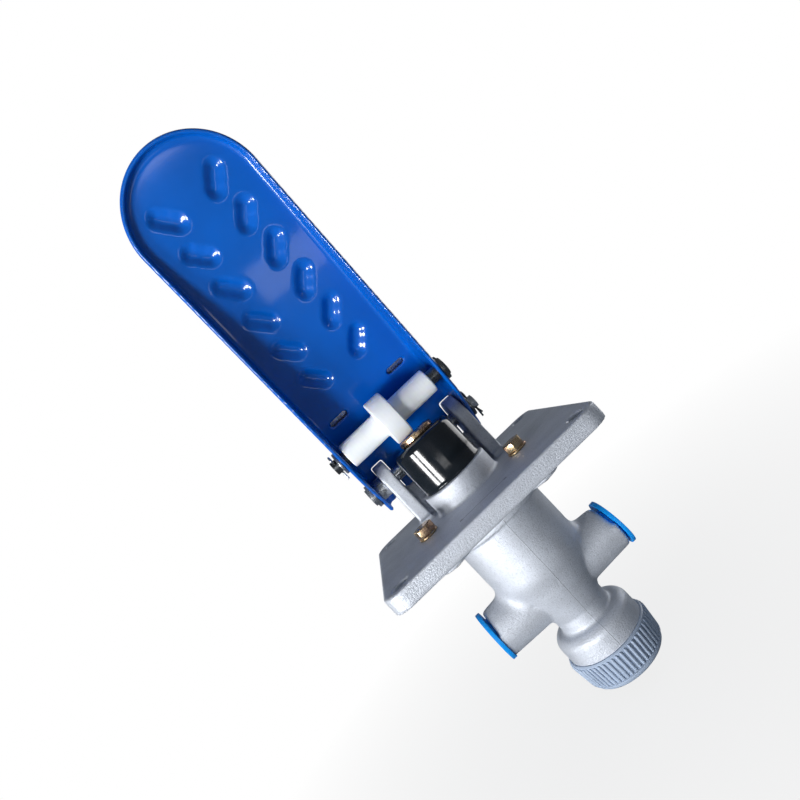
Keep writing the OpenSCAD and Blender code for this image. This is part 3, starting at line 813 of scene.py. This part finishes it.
class BRAKEVALVE_OT_silencer(bpy.types.Operator):
    """Moulds the silencer cap: a turned shell with rounded ribs all round"""

    bl_idname = "brakevalve.silencer"
    bl_label = "Silencer cap"

    def execute(self, context):
        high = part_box("silencer_cap")[1].z
        low = high - 18.6 * MM
        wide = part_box("silencer_cap")[1].x
        wall = wide - 0.9 * MM
        rib_low = high - 14.2 * MM
        taper = 1.5 * MM
        bore, inner, floor = 23.3 * MM, 22.0 * MM, 2 * MM
        ledge = -99 * MM
        band = wide - taper
        profile = [(bore, high), (wall - 0.5 * MM, high), (wall, high - 0.6 * MM)]
        profile += [(wall - taper, rib_low), (band - 0.1 * MM, rib_low - 0.5 * MM)]
        profile += arc((band - 4.2 * MM, low + 3.2 * MM), 3.2 * MM, 20, -90, 6)
        post, post_top, tip, tip_top = 4 * MM, -102 * MM, 2 * MM, -99.5 * MM
        profile += [(0, low), (0, tip_top), (tip, tip_top), (tip, post_top), (post, post_top)]
        profile += [(post, low + floor), (inner - taper, low + floor), (inner, ledge), (bore, ledge)]
        shell = lathe("cap_shell", profile + [profile[0]], "Z", 168)
        self.outlets(shell, low)
        radius = sizes().rib_radius
        top = high - 1.0 * MM
        side = [(0, top), (radius * 0.7, top - 0.5 * MM), (radius, top - 1.4 * MM)]
        rib = lathe("cap_rib", side + [(radius, rib_low), (0, rib_low)], "Z", 10)
        take(rib)
        bpy.ops.object.mode_set(mode="EDIT")
        pick(rib, lambda co: co.z < rib_low + 0.1 * MM)
        bpy.ops.transform.translate(value=(-taper, 0, 0))
        bpy.ops.object.mode_set(mode="OBJECT")
        rib.data.transform(Matrix.Translation((wide - radius, 0, 0)))
        ribs = [rib]
        for index in range(1, RIB_COUNT):
            copy = bpy.data.objects.new("cap_rib", rib.data.copy())
            bpy.context.scene.collection.objects.link(copy)
            copy.data.transform(Matrix.Rotation(2 * math.pi * index / RIB_COUNT, 4, "Z"))
            ribs.append(copy)
        cap = join([shell, *ribs], "silencer_cap_moulded")
        smooth_shade(cap, 40)
        dress(cap, "valve", "grey_plastic", MATERIALS["grey_plastic"], "silencer_cap")
        self.pad(low + floor)
        return {"FINISHED"}

    def outlets(self, shell, low):
        """The eight slots in the cap's floor that let the air out."""
        start, long, half = 9 * MM, 10 * MM, 1.5 * MM
        corners = [(start, -half), (start + long, -half), (start + long, half), (start, half)]
        for index in range(8):
            slot = prism("cap_outlet", corners, 6 * MM)
            turn = Matrix.Rotation(math.pi * index / 4, 4, "Z")
            slot.data.transform(turn @ Matrix.Translation((0, 0, low - 2 * MM)))
            cut(shell, slot)

    def pad(self, bottom):
        """The felt ring that lies on the cap's floor."""
        inner, outer, top, ease = 4.4 * MM, 19.6 * MM, -106.2 * MM, 0.8 * MM
        profile = [(inner, bottom + ease), (inner + ease, bottom + 0.1 * MM)]
        profile += [(outer - ease, bottom + 0.1 * MM), (outer, bottom + ease), (outer, top - ease)]
        profile += [(outer - ease, top), (inner + ease, top), (inner, top - ease)]
        pad = lathe("felt_pad", profile + [profile[0]])
        smooth_shade(pad)
        dress(pad, "valve", "felt", MATERIALS["felt"], "silencer_pad")


class BRAKEVALVE_OT_fasteners(bpy.types.Operator):
    """Rounds the edges of bolts, washers, pins and plugs"""

    bl_idname = "brakevalve.fasteners"
    bl_label = "Bolts, pins and plugs"

    def execute(self, context):
        for node, body, slot, width, segments in (
            ("hinge_pin", "valve", "bright_zinc", 0.7 * MM, 3),
            ("hinge_spacer", "valve", "bright_zinc", 0.4 * MM, 2),
            ("hinge_washer", "valve", "dark_steel", 0.4 * MM, 2),
            ("roller_pin", "pedal_arm", "dark_steel", 0.8 * MM, 3),
            ("roller_pin_washer", "pedal_arm", "bright_zinc", 0.4 * MM, 2),
            ("left_plug", "valve", "azure_plastic", 0.5 * MM, 3),
            ("right_plug", "valve", "azure_plastic", 0.5 * MM, 3),
        ):
            piece = soften(node, node + "_finished", width, segments)
            if node.endswith("_plug"):
                self.seat_rim(piece)
            dress(piece, body, slot, MATERIALS[slot], node)
        self.flange_bolts()
        return {"FINISHED"}

    def seat_rim(self, plug):
        """Draws the inner edge of a plug's rim down onto the rounded end of the port."""
        def on_rim(co):
            return math.hypot(co.y, co.z - PORT_Z) > PLUG_RIM_START

        face = min(abs(v.co.x) for v in plug.data.vertices if on_rim(v.co))
        side = math.copysign(1, plug.data.vertices[0].co.x)
        take(plug)
        bpy.ops.object.mode_set(mode="EDIT")
        pick(plug, lambda co: abs(co.x) < face + 0.4 * MM and on_rim(co))
        bpy.ops.transform.translate(value=(-side * 0.45 * MM, 0, 0))
        bpy.ops.object.mode_set(mode="OBJECT")

    def flange_bolts(self):
        """Hexagon bolts with a chamfered head and a thin collar, one modelled and the others copied."""
        flats = sizes().head_flats
        radius, collar, thread = flats / 2, flats * 0.58, flats * 0.3
        seat, head = PLATE_TOP + 1.2 * MM, 4.8 * MM
        hexagon = prism(
            "bolt_head",
            [(radius / math.cos(math.pi / 6) * math.cos(math.pi * k / 3 + 0.35),
              radius / math.cos(math.pi / 6) * math.sin(math.pi * k / 3 + 0.35)) for k in range(6)],
            head,
        )
        hexagon.data.transform(Matrix.Translation((0, 0, seat)))
        apply_modifier(hexagon, "BEVEL", width=0.45 * MM, segments=3, limit_method="ANGLE", angle_limit=0.6)
        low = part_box("flange_bolts")[0].z
        base, ease = PLATE_TOP + 0.1 * MM, 0.3 * MM
        side = [(0, low), (thread - 0.4 * MM, low), (thread, low + 0.5 * MM), (thread, base)]
        side += [(collar - ease, base), (collar, base + ease), (collar, seat - 0.2 * MM)]
        side += [(collar - ease, seat + 0.1 * MM), (0, seat + 0.1 * MM)]
        shank = lathe("bolt_shank", side)
        bolt = join([hexagon, shank], "flange_bolt_front")
        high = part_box("flange_washers")[1]
        washer_radius = 7.9 * MM
        ring_radius = high.y - washer_radius
        for index, name in enumerate(("flange_bolt_back", "flange_bolt_left", "flange_bolt_right")):
            angle = math.radians(90 + 120 * index)
            piece = bolt if index == 2 else bpy.data.objects.new(name, bolt.data.copy())
            if index < 2:
                bpy.context.scene.collection.objects.link(piece)
            piece.name = name
            piece.data.transform(
                Matrix.Translation((ring_radius * math.cos(angle), ring_radius * math.sin(angle), 0))
                @ Matrix.Rotation(0.5 * index, 4, "Z")
            )
            smooth_shade(piece, 30)
            nodes = ("flange_bolts", "flange_washers") if index == 0 else ()
            dress(piece, "valve", "yellow_zinc", MATERIALS["yellow_zinc"], *nodes)


class BRAKEVALVE_OT_split_pins(bpy.types.Operator):
    """Bends the two split pins from half-round wire"""

    bl_idname = "brakevalve.split_pins"
    bl_label = "Split pins"

    def execute(self, context):
        tail, inset = 5.4 * MM, 2.1 * MM
        middle, half = -2.8 * MM, 36.5 * MM
        left = Vector((middle - half - tail + inset, ROLLER_PIN.y, ROLLER_PIN.z))
        right = Vector((middle + half + tail - inset, HINGE.y, HINGE.z))
        for node, body, slot, place, turn in (
            ("roller_split_pin", "pedal_arm", "bright_zinc", left, 48.3),
            ("hinge_split_pin", "valve", "dark_steel", right, -20),
        ):
            pin = self.bend(node + "_bent")
            pin.data.transform(Matrix.Translation(place) @ Matrix.Rotation(math.radians(turn), 4, "X"))
            smooth_shade(pin, 50)
            dress(pin, body, slot, MATERIALS[slot], node)
        return {"FINISHED"}

    def bend(self, name):
        """Two legs of one wire: an eye at the top, straight through the pin, then bent apart."""
        wire = sizes().wire / 2
        legs = []
        for sign in (-1, 1):
            eye = [(sign * 0.5 * MM, -4 * MM), (sign * 0.5 * MM, 4.4 * MM)]
            ring = [(sign * y, z + 6.9 * MM) for y, z in arc((0, 0), 2.0 * MM, -75, 90, 8)]
            tail = [(sign * 0.7 * MM, -5.2 * MM), (sign * 1.8 * MM, -6.6 * MM), (sign * 4.2 * MM, -9.2 * MM)]
            path = list(reversed(tail)) + eye + ring
            curve = bpy.data.curves.new(name, "CURVE")
            curve.dimensions = "3D"
            curve.bevel_depth = wire * (0.72 if sign < 0 else 0.70)
            curve.bevel_resolution = 3
            curve.use_fill_caps = True
            spline = curve.splines.new("NURBS")
            spline.points.add(len(path) - 1)
            for point, (y, z) in zip(spline.points, path):
                point.co = (0, y, z, 1)
            spline.use_endpoint_u = True
            spline.order_u = 3
            leg = bpy.data.objects.new(name, curve)
            bpy.context.scene.collection.objects.link(leg)
            take(leg)
            bpy.ops.object.convert(target="MESH")
            legs.append(bpy.context.active_object)
        pin = join(legs, name)
        tidy_shell(pin)
        return pin


class BRAKEVALVE_OT_inner_pieces(bpy.types.Operator):
    """Gives the inner pieces their materials and makes a spring-steel copy of each spring"""

    bl_idname = "brakevalve.inner_pieces"
    bl_label = "Inner pieces"

    def execute(self, context):
        finishes = {
            "machined_aluminium": ("piston",),
            "brass": ("inlet_valve", "valve_guide"),
            "seal_rubber": ("piston_ring", "guide_ring", "stem_ring", "valve_seal", "exhaust_flap"),
            "dark_steel": ("retaining_clip",),
            "gasket_paper": ("body_gasket",),
        }
        for material, nodes in finishes.items():
            for node in nodes:
                mesh = frame["nodes"][node].data
                mesh.materials.clear()
                mesh.materials.append(MATERIALS[material])
        for node, joint in (
            ("graduating_spring", "plunger_slide"),
            ("return_spring", "piston_slide"),
            ("valve_spring", "air_valve_slide"),
        ):
            self.spring(node, joint)
        return {"FINISHED"}

    def spring(self, node, joint):
        coil = node_copy(node, node + "_coil")
        smooth_shade(coil)
        dress(coil, "valve", "spring_steel", MATERIALS["spring_steel"], node)
        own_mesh(coil)


class BRAKEVALVE_OT_stage(bpy.types.Operator):
    """Sets the camera at the photograph's angle, the pale floor and the soft lights"""

    bl_idname = "brakevalve.stage"
    bl_label = "Camera, floor and lights"

    def execute(self, context):
        scene = context.scene
        self.camera(scene)
        self.floor()
        self.world(scene)
        self.softbox("Near window pane", (-0.70, -0.72, -0.10), 0.21, 0.46, 12.5)
        self.softbox("Far window pane", (-0.90, -0.45, -0.10), 0.21, 0.46, 11.0)
        self.softbox("Front", (0.00, -1.00, -0.30), 0.50, 0.50, 2.6)
        self.softbox("Low panel", (0.085, -0.42, -0.09), 0.16, 0.05, 0.05)
        self.softbox("Rim", (-0.55, 0.80, 0.25), 0.50, 0.50, 0.5)
        self.softbox("Right fill", (0.85, 0.55, 0.20), 0.60, 0.60, 3.0)
        scene.view_settings.view_transform = "Standard"
        scene.view_settings.look = "None"
        return {"FINISHED"}

    def camera(self, scene):
        focal_pixels, frame_pixels = 650.0, 800.0
        data = bpy.data.cameras.new("Camera")
        data.sensor_width = 36.0
        data.lens = data.sensor_width * focal_pixels / frame_pixels
        data.shift_x = 0.0272
        data.shift_y = 0.0115
        data.clip_start = 0.01
        camera = bpy.data.objects.new("Camera", data)
        scene.collection.objects.link(camera)
        camera.location = (-19.85 * MM, -348.14 * MM, 58.96 * MM + PLATE_TOP)
        camera.rotation_euler = [math.radians(a) for a in (91.186, 43.561, -1.561)]
        scene.camera = camera

    def floor(self):
        deselect()
        bpy.ops.mesh.primitive_circle_add(vertices=96, radius=1.6, fill_type="NGON", location=(0, 0, -0.1205))
        floor = bpy.context.active_object
        floor.name = "pale_floor"
        bpy.ops.object.transform_apply(location=True)
        material, tree, place = start_material("Pale floor")
        painted = add(tree, "ShaderNodeBsdfDiffuse", Color=linear("#A0A6AC"))
        glow = add(tree, "ShaderNodeEmission", Color=(1.0, 1.0, 1.0), Strength=1.0)
        away = add(tree, "ShaderNodeVectorMath", {"operation": "LENGTH"}, out="Value", i0=place)
        share = add(tree, RANGE, i0=away, i1=0.10, i2=0.40, i3=0.82, i4=1.0)
        ray = add(tree, "ShaderNodeLightPath", out="Is Camera Ray")
        seen = add(tree, MATH, MULTIPLY, i0=share, i1=ray)
        both = add(tree, "ShaderNodeMixShader", i0=seen, i1=painted, i2=glow)
        add(tree, "ShaderNodeOutputMaterial", Surface=both)
        floor.data.materials.append(material)

    def world(self, scene):
        world = bpy.data.worlds.new("Studio")
        world.use_nodes = True
        tree = world.node_tree
        tree.nodes.clear()
        seen = add(tree, "ShaderNodeBackground", Color=(1.0, 1.0, 1.0), Strength=1.0)
        lit = add(tree, "ShaderNodeBackground", Color=(0.80, 0.88, 1.0), Strength=0.17)
        ray = add(tree, "ShaderNodeLightPath", out="Is Camera Ray")
        both = add(tree, "ShaderNodeMixShader", i0=ray, i1=lit, i2=seen)
        add(tree, "ShaderNodeOutputWorld", Surface=both)
        scene.world = world

    def softbox(self, name, place, width, height, power):
        data = bpy.data.lights.new(name, "AREA")
        data.shape = "RECTANGLE"
        data.size = width
        data.size_y = height
        data.energy = power
        light = bpy.data.objects.new(name, data)
        bpy.context.scene.collection.objects.link(light)
        light.location = place
        light.rotation_euler = (Vector((0, 0, 0.04)) - Vector(place)).to_track_quat("-Z", "Y").to_euler()


OPERATORS = (
    BRAKEVALVE_OT_castings,
    BRAKEVALVE_OT_pedal,
    BRAKEVALVE_OT_roller,
    BRAKEVALVE_OT_boot,
    BRAKEVALVE_OT_silencer,
    BRAKEVALVE_OT_fasteners,
    BRAKEVALVE_OT_split_pins,
    BRAKEVALVE_OT_inner_pieces,
    BRAKEVALVE_OT_stage,
)


class BRAKEVALVE_PT_panel(bpy.types.Panel):
    """Lists the sizes, the colours and the operators"""

    bl_label = "Brake valve"
    bl_idname = "BRAKEVALVE_PT_panel"
    bl_space_type = "VIEW_3D"
    bl_region_type = "UI"
    bl_category = "Brake valve"

    def draw(self, context):
        for group in (context.scene.brake_valve_sizes, context.scene.brake_valve_colours):
            for name in group.__annotations__:
                self.layout.prop(group, name)
        for operator in OPERATORS:
            self.layout.operator(operator.bl_idname)


CLASSES = (BrakeValveSizes, BrakeValveColours, *OPERATORS, BRAKEVALVE_PT_panel)


def register():
    for each in CLASSES:
        bpy.utils.register_class(each)
    bpy.types.Scene.brake_valve_sizes = bpy.props.PointerProperty(type=BrakeValveSizes)
    bpy.types.Scene.brake_valve_colours = bpy.props.PointerProperty(type=BrakeValveColours)


def unregister():
    del bpy.types.Scene.brake_valve_colours
    del bpy.types.Scene.brake_valve_sizes
    for each in reversed(CLASSES):
        bpy.utils.unregister_class(each)


def main():
    register()
    make_materials()
    deselect()
    for operator in OPERATORS:
        group, name = operator.bl_idname.split(".")
        result = getattr(getattr(bpy.ops, group), name)()
        if result != {"FINISHED"}:
            raise RuntimeError(f"{operator.bl_label} did not finish")
        deselect()


if __name__ == "__main__":
    main()
